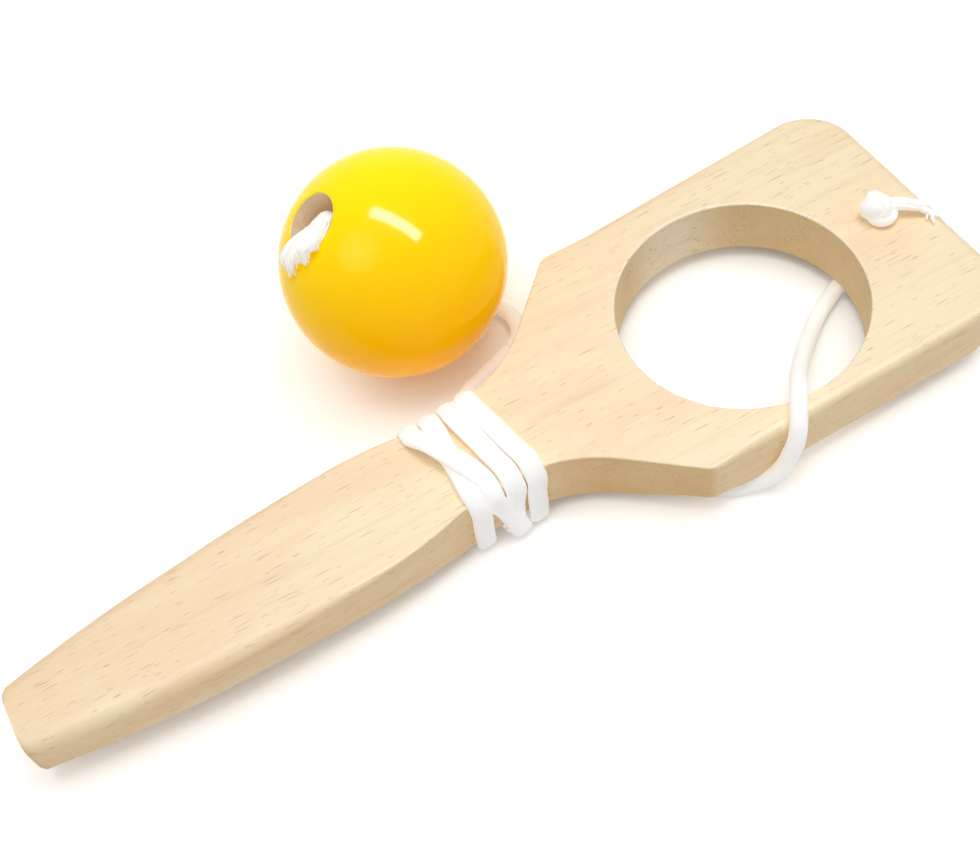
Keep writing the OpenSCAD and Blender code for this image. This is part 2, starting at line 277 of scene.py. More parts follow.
def cottonNapGroup(s):
    g, i, o = newGroup("cottonNap", [
        ("Along", "NodeSocketVector"), ("Space", "NodeSocketVector"), ("White", "NodeSocketColor"),
        ("Hollow", "NodeSocketColor"), ("Twist", "NodeSocketFloat")])
    along = i.outputs["Along"]
    lay = addNode(g, "ShaderNodeTexWave", (-900, 200),
                  wave_type="BANDS", bands_direction="DIAGONAL", wave_profile="SIN")
    wire(g, stretched(g, along, s["lay"], (-1150, 200)), lay.inputs["Vector"])
    setIn(lay, Scale=1.0, Distortion=s["layWarp"], Detail=s["layDetail"], Detail_Scale=s["layDetailScale"])
    hairs = stretchedNoise(g, along, s["hairs"], (-1150, -50))
    nap = noiseNode(g, i.outputs["Space"], *s["nap"], at=(-900, -300))
    twist = mathNode(g, "MULTIPLY", lay.outputs["Fac"], i.outputs["Twist"], at=(-650, 200))
    height = mathNode(g, "ADD", mathNode(g, "MULTIPLY", twist, s["layRise"], at=(-480, 200)),
                      mathNode(g, "MULTIPLY", hairs, s["hairRise"], at=(-650, -50)), at=(-300, 100))
    height = mathNode(g, "ADD", height, mathNode(g, "MULTIPLY", nap, s["napRise"], at=(-650, -300)), at=(-120, 0))
    # painted shade: the low places of the twist and nap take the darker hollow colour
    whiteness = rangeNode(g, height, *s["hollowBand"], at=(60, 150))
    wire(g, mixColor(g, whiteness, i.outputs["Hollow"], i.outputs["White"], (300, 200)), o.inputs["Color"])
    wire(g, rangeNode(g, nap, *s["napGloss"], at=(300, -100)), o.inputs["Roughness"])
    wire(g, height, o.inputs["Height"])
    return g


def emptyMaterial(name):
    m = bpy.data.materials.new(name)
    m.use_nodes = True
    t = m.node_tree
    t.nodes.clear()
    return m, t, addNode(t, "ShaderNodeOutputMaterial", (900, 0))


def newMaterial(name):
    m, t, out = emptyMaterial(name)
    shader = addNode(t, "ShaderNodeBsdfPrincipled", (600, 0))
    wire(t, shader.outputs[0], out.inputs["Surface"])
    return m, t, shader


def bumpInto(t, shader, height, strength, distance):
    b = addNode(t, "ShaderNodeBump", (350, -300))
    setIn(b, Strength=strength, Distance=distance)
    wire(t, height, b.inputs["Height"])
    wire(t, b.outputs[0], shader.inputs["Normal"])


def dressWith(t, group, shader, strength, distance):
    wire(t, group.outputs["Color"], shader.inputs["Base Color"])
    wire(t, group.outputs["Roughness"], shader.inputs["Roughness"])
    bumpInto(t, shader, group.outputs["Height"], strength, distance)


beechFigure = beechFigureGroup(figureSet)
cottonNap = cottonNapGroup(napSet)
sameTone = (1, 1, 1, 1)
paddleGrain = (0, 0, math.radians(3.0))
woodSet = {"fleckColor": (0.44, 0.24, 0.10, 1), "specular": 0.25, "bump": (0.30, 0.00010)}
# the side colour darkens upright faces: painted shade
beechSet = {
    "pale": (0.96, 0.79, 0.52, 1), "pink": (0.945, 0.71, 0.45, 1), "fleck": 0.46, "pores": 0.6,
    "turn": paddleGrain, "sideShade": (0.97, 0.925, 0.87, 1), "cutGrainAndShade": (0.87, 0.80, 0.655, 1),
}
# the ring's bore wall is a lighter copy of the beech: painted light against the shade inside the ring; its darker cut
# colour is end grain and painted shade
ringBeechPaintedLightSet = {
    "pale": (0.98, 0.86, 0.65, 1), "pink": (0.97, 0.81, 0.60, 1), "fleck": 0.60, "pores": 0.6,
    "turn": paddleGrain, "sideShade": sameTone, "cutGrainAndShade": (0.84, 0.73, 0.53, 1),
}
boreWoodSet = {
    "pale": (0.93, 0.74, 0.50, 1), "pink": (0.88, 0.66, 0.43, 1), "fleck": 0.4, "pores": 0.4,
    "turn": (0.4, 0.9, 0.3), "sideShade": sameTone, "cutGrainAndShade": sameTone,
}


def beechMaterial(name, s):
    m, t, shader = newMaterial(name)
    coord = addNode(t, "ShaderNodeTexCoord", (-700, 0))
    g = addNode(t, "ShaderNodeGroup", (-200, 0), node_tree=beechFigure)
    wire(t, stretched(t, coord.outputs["Object"], perMetre, (-500, 0), turn=s["turn"]), g.inputs["Grain"])
    wire(t, coord.outputs["Normal"], g.inputs["Facing"])
    setIn(g, Pale=s["pale"], Pink=s["pink"], Fleck_Color=woodSet["fleckColor"], Fleck=s["fleck"], Pores=s["pores"],
          Side_Tone=s["sideShade"], Cut_Tone=s["cutGrainAndShade"])
    setIn(shader, Specular_IOR_Level=woodSet["specular"])
    dressWith(t, g, shader, *woodSet["bump"])
    return m


beech = beechMaterial("beech", beechSet)
ringBeechPaintedLight = beechMaterial("ringBeechPaintedLight", ringBeechPaintedLightSet)
boreWood = beechMaterial("boreWood", boreWoodSet)

# the lacquer's base colour is painted shade: yellow towards its run and a deeper orange on the side away from it; its
# slight glow is painted light that brightens the whole ball like a bright exposure
lacquerSet = {
    "face": (1.0, 0.90, 0.0, 1), "deep": (1.0, 0.50, 0.0, 1), "run": (0.26, 0.80, 0.54), "paintedShadeBand": (22, -19),
    "glow": (1.0, 0.42, 0.0, 1), "paintedGlowLevel": 0.19,
    "cloud": (0.06, 3, 0.5, 0.3), "cloudReach": 3.0, "cloudGloss": (0.3, 0.7, 0.09, 0.13),
    "peel": (0.55, 2, 0.4, 0.0), "peelBump": (0.05, 0.00005), "ior": 1.19,
}


def lacquerMaterial(s):
    m, t, shader = newMaterial("yellowLacquer")
    coord = addNode(t, "ShaderNodeTexCoord", (-900, 0))
    space = stretched(t, coord.outputs["Object"], perMetre, (-700, 0))
    cloud = noiseNode(t, space, *s["cloud"], at=(-450, 150))
    peel = noiseNode(t, space, *s["peel"], at=(-450, -150))
    aside = addNode(t, "ShaderNodeVectorMath", (-450, 400), operation="SUBTRACT")
    wire(t, space, aside.inputs[0])
    aside.inputs[1].default_value = Vector(ballSet["at"]) + ringSpot
    towardLight = addNode(t, "ShaderNodeVectorMath", (-250, 400), operation="DOT_PRODUCT")
    wire(t, aside.outputs[0], towardLight.inputs[0])
    towardLight.inputs[1].default_value = s["run"]
    # painted shade: the base colour deepens from yellow to orange on the side away from the run
    drift = mathNode(t, "MULTIPLY_ADD", cloud, s["cloudReach"], towardLight.outputs["Value"], at=(-100, 300))
    paintedShadeMix = rangeNode(t, drift, *s["paintedShadeBand"], at=(50, 300), smooth=False)
    wire(t, mixColor(t, paintedShadeMix, s["face"], s["deep"], (250, 150)), shader.inputs["Base Color"])
    wire(t, rangeNode(t, cloud, *s["cloudGloss"], at=(50, -50)), shader.inputs["Roughness"])
    # painted light: a slight orange emission brightens the whole ball
    setIn(shader, Emission_Color=s["glow"], Emission_Strength=s["paintedGlowLevel"], IOR=s["ior"])
    bumpInto(t, shader, peel, *s["peelBump"])
    return m


# the cords' slight emission is painted light that lifts their shaded sides
cottonSet = {
    "white": (0.99, 0.985, 0.96, 1), "hollow": (0.965, 0.95, 0.895, 1), "paintedLightLevel": 0.16,
    "softRadius": (1.0, 1.0, 0.95), "softScale": 0.0018, "sheen": 0.25, "sheenRough": 0.6, "specular": 0.2,
    "bumpDepth": 0.0002,
    "cord": {"twist": 0.4, "bump": 0.16, "soft": 1.0},
    "yarn": {"twist": 0.2, "bump": 0.10, "soft": 0.0},
}


def cottonMaterial(name, s, kind):
    m, t, shader = newMaterial(name)
    along = addNode(t, "ShaderNodeUVMap", (-700, 150), uv_map="along")
    coord = addNode(t, "ShaderNodeTexCoord", (-700, -150))
    g = addNode(t, "ShaderNodeGroup", (-200, 0), node_tree=cottonNap)
    wire(t, along.outputs[0], g.inputs["Along"])
    wire(t, stretched(t, coord.outputs["Object"], perMetre, (-500, -150)), g.inputs["Space"])
    setIn(g, White=s["white"], Hollow=s["hollow"], Twist=s[kind]["twist"])
    # painted light: the cord glows slightly in its own white
    setIn(shader, Emission_Color=s["white"], Emission_Strength=s["paintedLightLevel"], Subsurface_Weight=s[kind]["soft"],
          Subsurface_Radius=s["softRadius"], Subsurface_Scale=s["softScale"], Sheen_Weight=s["sheen"],
          Sheen_Roughness=s["sheenRough"], Specular_IOR_Level=s["specular"])
    dressWith(t, g, shader, s[kind]["bump"], s["bumpDepth"])
    return m


cotton = cottonMaterial("cottonCord", cottonSet, "cord")
yarn = cottonMaterial("cottonYarn", cottonSet, "yarn")
print("materials ready")

# the paddle's sizes in millimetres; the cord takes its places from them
paddleSet = {
    "length": 204.0, "thick": 14.0, "shoulderW": 61.6, "tipW": 64.0, "tipR": 11.0, "tipReach": 44.8,
    "shoulderBack": 26.4, "shoulderR": 4.0, "ringD": 50.0, "ringOff": 2.4, "ringBevel": 0.5,
    "waistW": 21.0, "waistBack": 60.0, "waistRun": 6.0, "joinRun": 4.0, "flareR": 30.0,
    "handleW": 26.4, "bellyBack": 102.0, "handleOff": 1.6, "offRun": 70.0,
    "buttW": 15.2, "buttCut": 1.0, "buttLean": 0.8, "leanRun": 24.0,
    "headEdge": 2.0, "waistEdge": 0.5, "edgeRun": 10.0, "edgeLimit": 0.8,
    "upperEdge": 3.5, "upperAhead": 18.0, "upperRun": 36.0,
    "lowerEdge": 6.4, "lowerBehind": 7.0, "lowerRun": 40.0,
    "shoulderEdge": 3.5, "shoulderRise": 16.0, "shoulderFall": 15.0,
    "tipHoleD": 4.8, "tipHoleX": 35.0, "tipHoleSink": 1.2, "sinkRound": (0.4, 0.5), "tipHoleBevel": 0.4,
    "bevelRound": 0.3,
    "edgeSteps": 8, "bevelSteps": 4, "handleSteps": 64, "joinSteps": 6, "flareSteps": 24, "cheekSteps": 8,
    "shoulderSteps": 10, "sideSteps": 20, "tipSteps": 20, "ringSides": 160, "tipHoleSides": 48,
    "sharpAngle": 38, "flatWeight": 80,
}
cordSet = {
    "d": 3.4, "gap": 0.15, "pressed": 0.9, "sides": 20, "step": 0.6, "tableGap": 0.02,
    "swell": 0.035, "swellPitch": 0.12, "twist": 0.022, "twistPitch": 0.55, "strands": 3,
    "nap": 0.03, "napRound": 2.2, "napPitch": 0.8, "paddleSeed": 3.1, "ballSeed": 8.4,
}
ps = paddleSet
lift = cordSet["gap"] + cordSet["pressed"] * cordSet["d"]  # the board lies on the cord, which is pressed a little flat
topZ = lift + ps["thick"]
midZ = lift + ps["thick"] / 2
buttX = ps["tipReach"] - ps["length"]
flareC = (-ps["waistBack"], ps["waistW"] / 2 + ps["flareR"])
rearC = (flareC[0] - ps["waistRun"], flareC[1])
joinX = rearC[0] - ps["joinRun"]
joinHalf = rearC[1] - math.sqrt(ps["flareR"] ** 2 - ps["joinRun"] ** 2)
bellyX = -ps["bellyBack"]


def handleHalf(x):
    half = ps["handleW"] / 2
    if x < bellyX:
        return half - (half - ps["buttW"] / 2) * ((bellyX - x) / (bellyX - buttX)) ** 2
    return half - (half - joinHalf) * ((x - bellyX) / (joinX - bellyX)) ** 3


def axisOff(x):
    return -ps["handleOff"] * ease((-ps["shoulderBack"] - x) / ps["offRun"])


def waistHalf(x):
    if x < joinX:
        return handleHalf(x)
    if x < rearC[0]:
        return rearC[1] - math.sqrt(ps["flareR"] ** 2 - (rearC[0] - x) ** 2)
    if x < flareC[0]:
        return ps["waistW"] / 2
    return flareC[1] - math.sqrt(ps["flareR"] ** 2 - (x - flareC[0]) ** 2)


# strands: a smooth curve through the route, and a tube swept along it
def smoothLine(points, step):
    pts = [Vector(p) for p in points]
    least = 1e-4
    line = []
    for i in range(len(pts) - 1):
        a, b = pts[max(i - 1, 0)], pts[i]
        c, d = pts[i + 1], pts[min(i + 2, len(pts) - 1)]
        t0 = 0.0
        t1 = t0 + max((b - a).length, least) ** 0.5
        t2 = t1 + max((c - b).length, least) ** 0.5
        t3 = t2 + max((d - c).length, least) ** 0.5
        count = max(1, round((c - b).length / step))
        for k in range(count):
            t = t1 + (t2 - t1) * k / count
            a1 = (t1 - t) / (t1 - t0) * a + (t - t0) / (t1 - t0) * b
            a2 = (t2 - t) / (t2 - t1) * b + (t - t1) / (t2 - t1) * c
            a3 = (t3 - t) / (t3 - t2) * c + (t - t2) / (t3 - t2) * d
            b1 = (t2 - t) / (t2 - t0) * a1 + (t - t0) / (t2 - t0) * a2
            b2 = (t3 - t) / (t3 - t1) * a2 + (t - t1) / (t3 - t1) * a3
            line.append((t2 - t) / (t2 - t1) * b1 + (t - t1) / (t2 - t1) * b2)
    line.append(pts[-1])
    return line


def tangents(line):
    n = len(line)
    return [(line[min(i + 1, n - 1)] - line[max(i - 1, 0)]).normalized() for i in range(n)]


def carriedFrames(line):
    run = tangents(line)
    steep = abs(run[0].z) >= 0.8
    u = run[0].cross(Vector((0, 1, 0)) if steep else Vector((0, 0, 1))).normalized()
    frames = []
    for t in run:
        u = (u - t * u.dot(t)).normalized()
        frames.append((u, t.cross(u)))
    return frames


def tubeParts(line, frames, radius, sides):
    verts, faces, uvs = [], [], []
    n = len(line)
    runs = [0.0]
    for i in range(1, n):
        runs.append(runs[-1] + (line[i] - line[i - 1]).length)
    for i, p in enumerate(line):
        u, w = frames[i]
        for j in range(sides):
            a = 2 * math.pi * j / sides
            ru, rw = radius(i, a, runs[i])
            verts.append(p + u * (ru * math.cos(a)) + w * (rw * math.sin(a)))
    for i in range(n - 1):
        for j in range(sides):
            k = (j + 1) % sides
            faces.append((i * sides + j, i * sides + k, (i + 1) * sides + k, (i + 1) * sides + j))
            left, right = j / sides, (j + 1) / sides
            uvs += [(left, runs[i]), (right, runs[i]), (right, runs[i + 1]), (left, runs[i + 1])]
    for end, order in ((0, range(sides - 1, -1, -1)), (n - 1, range(sides))):
        faces.append(tuple(end * sides + j for j in order))
        uvs += [(j / sides, runs[end]) for j in order]
    return verts, faces, uvs, runs[-1]


def joinParts(parts):
    verts, faces, uvs = [], [], []
    for v, f, u in parts:
        base = len(verts)
        verts += v
        faces += [tuple(i + base for i in face) for face in f]
        uvs += u
    return verts, faces, uvs


# cord routes: the solids' points, moved by up to 2 mm where the cord goes over the ring's near rim
tipRoute = [
    (35, 0, 17.1), (35.1, 0, 13.5), (35.2, 0, 9), (35.2, 0, 4.8), (34.7, 0, 3.1), (33.5, -0.1, 1.8),
    (31.8, -0.3, 1.4), (29, -0.9, 1.4), (25.6, -1.8, 1.5), (22, -3.2, 1.7), (18.4, -5, 1.9),
    (14.8, -7.4, 2.6), (11, -10.4, 4.2), (7.4, -13.6, 6.7), (3.8, -17.2, 10), (0.6, -20.6, 13.6),
    (-2.2, -23.8, 17), (-4.5, -26.8, 18.9), (-6.6, -29.6, 19.3), (-8.4, -32, 18.4), (-9.6, -33.2, 15.3),
    (-10.5, -33.3, 11.8), (-11.5, -33.1, 8.5), (-13, -32.6, 5.6), (-15.2, -31.6, 3.4), (-17.8, -30.2, 2),
    (-20.3, -29.2, 1.4), (-23.4, -26.2, 1.4), (-27, -21.8, 1.4), (-31, -16, 1.4), (-35, -9.6, 1.4),
    (-39, -3, 1.4), (-43, 3.4, 1.4), (-46.8, 9, 1.4), (-50.4, 13.4, 1.4), (-54, 16.3, 1.4),
    (-57.6, 17.3, 1.4), (-61, 17.5, 1.4), (-64, 17.3, 1.4), (-66.4, 16.4, 1.4), (-68, 14.8, 1.4),
]
ballRoute = [
    (-56.3, 12.6, 10), (-55.8, 14, 8), (-54.7, 16.4, 6.3), (-53, 18.9, 4.6), (-51, 20.8, 2.8),
    (-48.4, 22.2, 1.8), (-45, 23.4, 1.7), (-41.8, 24.4, 1.7), (-39, 25.4, 1.7), (-36.7, 27, 1.7),
    (-35.2, 29.4, 1.7), (-34.8, 32.2, 1.7), (-35.3, 35, 1.7), (-36.6, 37.2, 2), (-38.4, 38.7, 2.8),
]
# each pass goes from one x to another, by turns under and over the waist
windSet = {
    "passes": [(-68.7, -59.7), (-63, -69.8), (-72.4, -66.9), (-66.4, -65.4),
               (-64.6, -60.2), (-58.5, -60.9), (-60.4, -55.2), (-54, -56.8)],
    "press": {0: 1.5, 2: -0.3, 6: 0.4},  # near the table these passes lie over or under their neighbours
    "flat": 2.1, "wide": 4.2, "turnR": 1.8, "edgeR": 3.6, "loose": 0.15, "pile": 2.2, "piledPass": 1,
    "bend": (0, 30, 60, 90), "across": (0.25, 0.5, 0.75), "flattenRun": 12, "roundRun": 8,
    "startY": 12.5, "endRun": 1.0, "endAt": (-56.4, 12.19, 13.06), "swingGap": 0.3,
}
windLow = ps["thick"] / 2 + cordSet["gap"] + cordSet["d"] / 2  # round under the board, drawn flat round the rest
windTop = ps["thick"] / 2 + cordSet["gap"] + windSet["flat"] / 2


def windHalf(x):
    return waistHalf(x) + windSet["flat"] / 2 + windSet["loose"]


def windAt(x, side, level, deg, out=0.0):
    a = math.radians(deg)
    h, r = (windTop, windSet["edgeR"]) if level > 0 else (windLow, windSet["turnR"])
    y = axisOff(x) + side * (windHalf(x) + out - r + r * math.cos(a))
    return (x, y, midZ + level * (h - r + r * math.sin(a)))


def windLine():
    passes, line = windSet["passes"], []
    for k, (x0, x1) in enumerate(passes):
        level = -1 if k % 2 == 0 else 1
        side = -level
        hump = windSet["pile"] if k == windSet["piledPass"] else 0
        if k == 0:
            low = midZ - windLow
            line += [(x0, windSet["startY"], low), (x0, windSet["startY"] - cordSet["d"], low)]
        else:
            line += [windAt(x0, side, level, deg) for deg in windSet["bend"]]
        flatZ = midZ + (windTop if level > 0 else -windLow)
        for f in windSet["across"]:
            x = x0 + (x1 - x0) * f
            y = axisOff(x) + side * (windHalf(x) - windSet["edgeR"]) * (1 - 2 * f)
            line.append((x, y, flatZ + hump * (1 - (2 * f - 1) ** 4)))
        press = windSet["press"].get(k, 0.0)
        line += [windAt(x1, -side, level, deg, press) for deg in reversed(windSet["bend"])]
        if k + 1 < len(passes):
            x = (x1 + passes[k + 1][0]) / 2
            line.append((x, axisOff(x) - side * windHalf(x), midZ))
        else:
            line.append(windSet["endAt"])
    return line


ballSet = {
    "d": 47.0, "at": (-53.6, 43.2, 23.5), "turn": 165, "lean": 35,
    "seatD": 12.4, "seatDepth": 16.0, "seatCorner": 0.4, "holeD": 5.6, "bevel": 0.4, "edge": 0.5,
    "exitFlare": 0.15, "exitRun": 1.2, "rimRound": [(0.45, 0.02), (0.12, 0.18)], "boreRound": [(1.2, 0), (0.3, 0.1)],
    "faceSteps": 110, "seatSteps": 8, "boreSteps": 6, "sides": 192, "sharpAngle": 50,
}
ballR = ballSet["d"] / 2
mouthZ = math.sqrt(ballR ** 2 - (ballSet["seatD"] / 2) ** 2)
seatZ = mouthZ - ballSet["seatDepth"]
inBall = Matrix.Translation(Vector(ballSet["at"])) @ Matrix.Rotation(math.radians(ballSet["turn"]), 4, "Z") \
    @ Matrix.Rotation(math.radians(ballSet["lean"]), 4, "Y")


# a soft cord is never quite round: slow swelling, a slight twist and a flattened lie
def cordRadius(r, seed, flat=None):
    c = cordSet
    thin, wide = windSet["flat"] / c["d"] - 1, windSet["wide"] / c["d"] - 1

    def radius(i, a, run):
        swell = 1 + c["swell"] * noise.noise(Vector((run * c["swellPitch"], seed, 0)))
        twist = 1 + c["twist"] * math.cos(c["strands"] * a - run * c["twistPitch"])
        spot = (math.cos(a) * c["napRound"], math.sin(a) * c["napRound"] + seed, run * c["napPitch"])
        nap = 1 + c["nap"] * noise.noise(Vector(spot))
        f = flat(i) if flat else 0
        k = r * swell * twist * nap
        return k * (1 + thin * f), k * (1 + wide * f)
    return radius


def cordPiece(name, line, frames, radius, body):
    verts, faces, uvs, length = tubeParts(line, frames, radius, cordSet["sides"])
    for v in verts:
        v.z = max(v.z, cordSet["tableGap"])
    return meshPiece(name, [put(v) for v in verts], faces, [cotton], body, uvs=uvs), length


def makePaddleCord():
    wind = windLine()
    start = Vector(wind[0])
    line = smoothLine(tipRoute + [start + Vector((0, windSet["endRun"], 0))] + [start], cordSet["step"])
    split = len(line)
    line += smoothLine(wind, cordSet["step"])[1:]
    frames = carriedFrames(line)
    run = tangents(line)
    halfW, halfH = ps["waistW"] / 2 + windSet["flat"] / 2, windTop
    for i in range(split, len(line)):  # on the waist the flat side faces the wood
        p = line[i]
        out = Vector((0, ((p.y - axisOff(p.x)) / halfW) ** 3 / halfW, ((p.z - midZ) / halfH) ** 3 / halfH))
        u = (out - run[i] * out.dot(run[i])).normalized()
        frames[i] = (u, run[i].cross(u))

    def flat(i):
        return clamp((i - split) / windSet["flattenRun"]) * clamp((len(line) - 1 - i) / windSet["roundRun"])
    radius = cordRadius(cordSet["d"] / 2, cordSet["paddleSeed"], flat)
    piece, length = cordPiece("paddleCord", line, frames, radius, "paddle")
    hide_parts("tip_cord", "neck_winding")
    return piece, line, length


def makeBallCord():
    start = Vector(windSet["endAt"]) - Vector((0, 0, windSet["swingGap"]))
    bore = [inBall @ Vector((0, 0, z)) for z in (-ballR, -ballR + 2 * cordSet["d"], 0, seatZ)]
    line = smoothLine([start, start - Vector((0, 0, windSet["endRun"]))] + ballRoute + bore, cordSet["step"])
    radius = cordRadius(cordSet["d"] / 2, cordSet["ballSeed"])
    piece, length = cordPiece("ballCord", line, carriedFrames(line), radius, "ball_lead")
    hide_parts("ball_cord")
    return piece, line, length


paddleCord, paddleCordLine, paddleCordLength = makePaddleCord()
ballCord, ballCordLine, ballCordLength = makeBallCord()
print("cords laid", round(paddleCordLength, 1), round(ballCordLength, 1))

# overhand knots, pulled tight: a plump three-lobed turn with one more turn round its foot
knotSet = {
    "size": 0.46, "height": 0.85, "r": 1.95, "start": 0.35, "steps": 120, "sides": 20, "seed": 0.1,
    "footR": 1.9, "footTube": 1.35, "footAt": (0.7, -1.0), "footZ": 1.35, "footSteps": 60, "footSides": 18,
    "footSeed": 0.2,
    "tipAt": (34.0, -0.8), "tipGap": 0.1, "tipTurn": 20, "ballGap": 0.4, "ballTurn": 80,
}


def knotLine(turn):
    line = []
    for k in range(knotSet["steps"] + 1):
        t = 2 * math.pi * k / knotSet["steps"] + knotSet["start"]
        x, y = math.sin(t) + 2 * math.sin(2 * t), math.cos(t) - 2 * math.cos(2 * t)
        line.append(Vector((x * knotSet["size"], y * knotSet["size"], -math.sin(3 * t) * knotSet["height"])))
    spin = Matrix.Rotation(math.radians(turn), 3, "Z")
    return [spin @ p for p in line]


def footLine():
    at, r, z = knotSet["footAt"], knotSet["footR"], knotSet["footZ"]
    turns = [2 * math.pi * k / knotSet["footSteps"] for k in range(knotSet["footSteps"] + 1)]
    return [Vector((at[0] + r * math.cos(a), at[1] + r * math.sin(a), z)) for a in turns]


def makeKnot(name, matrix, turn, body, node):
    line, foot = knotLine(turn), footLine()
    radius = cordRadius(knotSet["r"], turn * knotSet["seed"])
    footRadius = cordRadius(knotSet["footTube"], turn * knotSet["footSeed"])
    verts, faces, uvs, _ = tubeParts(line, carriedFrames(line), radius, knotSet["sides"])
    low = Vector((0, 0, min(v.z for v in verts)))
    footParts = tubeParts(foot, carriedFrames(foot), footRadius, knotSet["footSides"])
    verts, faces, uvs = joinParts([([v - low for v in verts], faces, uvs), footParts[:3]])
    piece = meshPiece(name, [put(matrix @ v) for v in verts], faces, [cotton], body, uvs=uvs)
    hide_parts(node)
    return piece


onTip = Matrix.Translation((*knotSet["tipAt"], topZ + knotSet["tipGap"]))
inSeat = inBall @ Matrix.Translation((0, 0, seatZ + knotSet["ballGap"]))
tipKnot = makeKnot("tipKnot", onTip, knotSet["tipTurn"], "paddle", "tip_knot")
ballKnot = makeKnot("ballKnot", inSeat, knotSet["ballTurn"], "ball_lead", "ball_knot")

# the tip's loose end: a stub of fine yarns and a thin wisp that goes on beyond it
tipTailSet = {
    "route": [(36.8, -1.6, 2.5), (38.2, -2.7, 2.8), (39.6, -3.8, 2.7), (40.9, -4.8, 2.4), (41.9, -5.8, 1.9),
              (42.4, -7.0, 1.3), (42.3, -8.2, 0.9), (41.8, -9.4, 0.7)],
    "step": 0.4, "sides": 6, "fewest": 4, "bend": 0.5, "bendFrom": 0.55, "turn": 0.9, "wave": 0.9,
    "wobble": (0.05, 0.18), "phase": (0, 6), "thickness": (0.75, 1.15),
    "stub": {"yarns": 64, "spread": (1.15, 0.45), "r": 0.36, "seed": 5, "reach": (0.55, 0.85)},
    "wisp": {"yarns": 14, "spread": (0.8, 0.3), "r": 0.28, "seed": 6, "reach": (0.85, 1.0)},
}


def yarnParts(strand, r, sides):
    thinning, tipRun = 0.6, 4

    def taper(i, a, run):
        return (r * (1 - thinning * clamp((i - len(strand) + tipRun) / tipRun)),) * 2
    return tubeParts(strand, carriedFrames(strand), taper, sides)[:3]


def yarnBundle(line, s, bundle):
    rng = random.Random(bundle["seed"])
    frames = carriedFrames(line)
    n = len(line)
    parts = []
    for k in range(bundle["yarns"]):
        a = rng.uniform(0, 2 * math.pi)
        d = math.sqrt(rng.random())
        last = max(s["fewest"], int(n * rng.uniform(*bundle["reach"])))
        bend = Vector((rng.gauss(0, 1), rng.gauss(0, 1), rng.gauss(0, 1))) * s["bend"]
        wobble, phase = rng.uniform(*s["wobble"]), rng.uniform(*s["phase"])
        strand = []
        for i in range(last):
            f = i / (n - 1)
            u, w = frames[i]
            out = (bundle["spread"][0] - bundle["spread"][1] * f) * d
            p = line[i] + u * (out * math.cos(a + s["turn"] * f)) + w * (out * math.sin(a + s["turn"] * f))
            p = p + bend * clamp((f - s["bendFrom"]) / (1 - s["bendFrom"])) ** 2
            strand.append(p + u * (wobble * math.sin(i * s["wave"] + phase)) * f)
        parts.append(yarnParts(strand, bundle["r"] * rng.uniform(*s["thickness"]), s["sides"]))
    return joinParts(parts)


def makeTipTail(s):
    line = smoothLine([(x, y, z + topZ) for x, y, z in s["route"]], s["step"])
    verts, faces, uvs = joinParts([yarnBundle(line, s, s["stub"]), yarnBundle(line, s, s["wisp"])])
    piece = meshPiece("tipTail", [put(v) for v in verts], faces, [yarn], "paddle", uvs=uvs)
    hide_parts("tip_tail")
    return piece


# the ball's end fans out over the rim of its hole, from one edge line to the other, and is cut in tufts
ballTailSet = {
    "right": [(-1.5, -0.5, 13.4), (-1.8, -1.2, 16), (-2.2, -1.4, 18.5), (-2.8, 0.8, 20.5), (-3.0, 4.0, 22.4),
              (-2.4, 5.8, 23.3), (-1.3, 6.9, 23.5), (0.3, 8.3, 22.4)],
    "middle": [(-1.3, -0.6, 13.4), (-1.2, -2.2, 16), (-0.8, -3.4, 18.2), (-1.0, -1.2, 20.8), (-0.8, 2.6, 23.1),
               (0.0, 5.4, 24.6), (1.8, 7.2, 24.4), (4.5, 8.1, 22.4)],
    "left": [(-1.1, -0.7, 13.4), (-0.8, -2.9, 16), (0.0, -4.2, 18.2), (0.2, -2.2, 20.4), (1.2, 1.2, 22.4),
             (4.4, 2.9, 24.5), (8.3, 4.1, 24.0), (11.0, 6.0, 20.9)],
    "step": 0.5, "rows": 40, "yarns": 170, "sides": 5, "r": 0.3, "thickness": (0.85, 1.15), "seed": 9,
    "tufts": 8, "tuftReach": (0.88, 1.0), "tuftRound": 0.07, "yarnReach": (0.97, 1.0),
    "depth": 1.4, "depthLoss": 0.7, "outside": 0.5, "outsideDepth": 0.9,
    "wobble": (0.05, 0.2), "phase": (0, 6), "wave": 0.7,
}


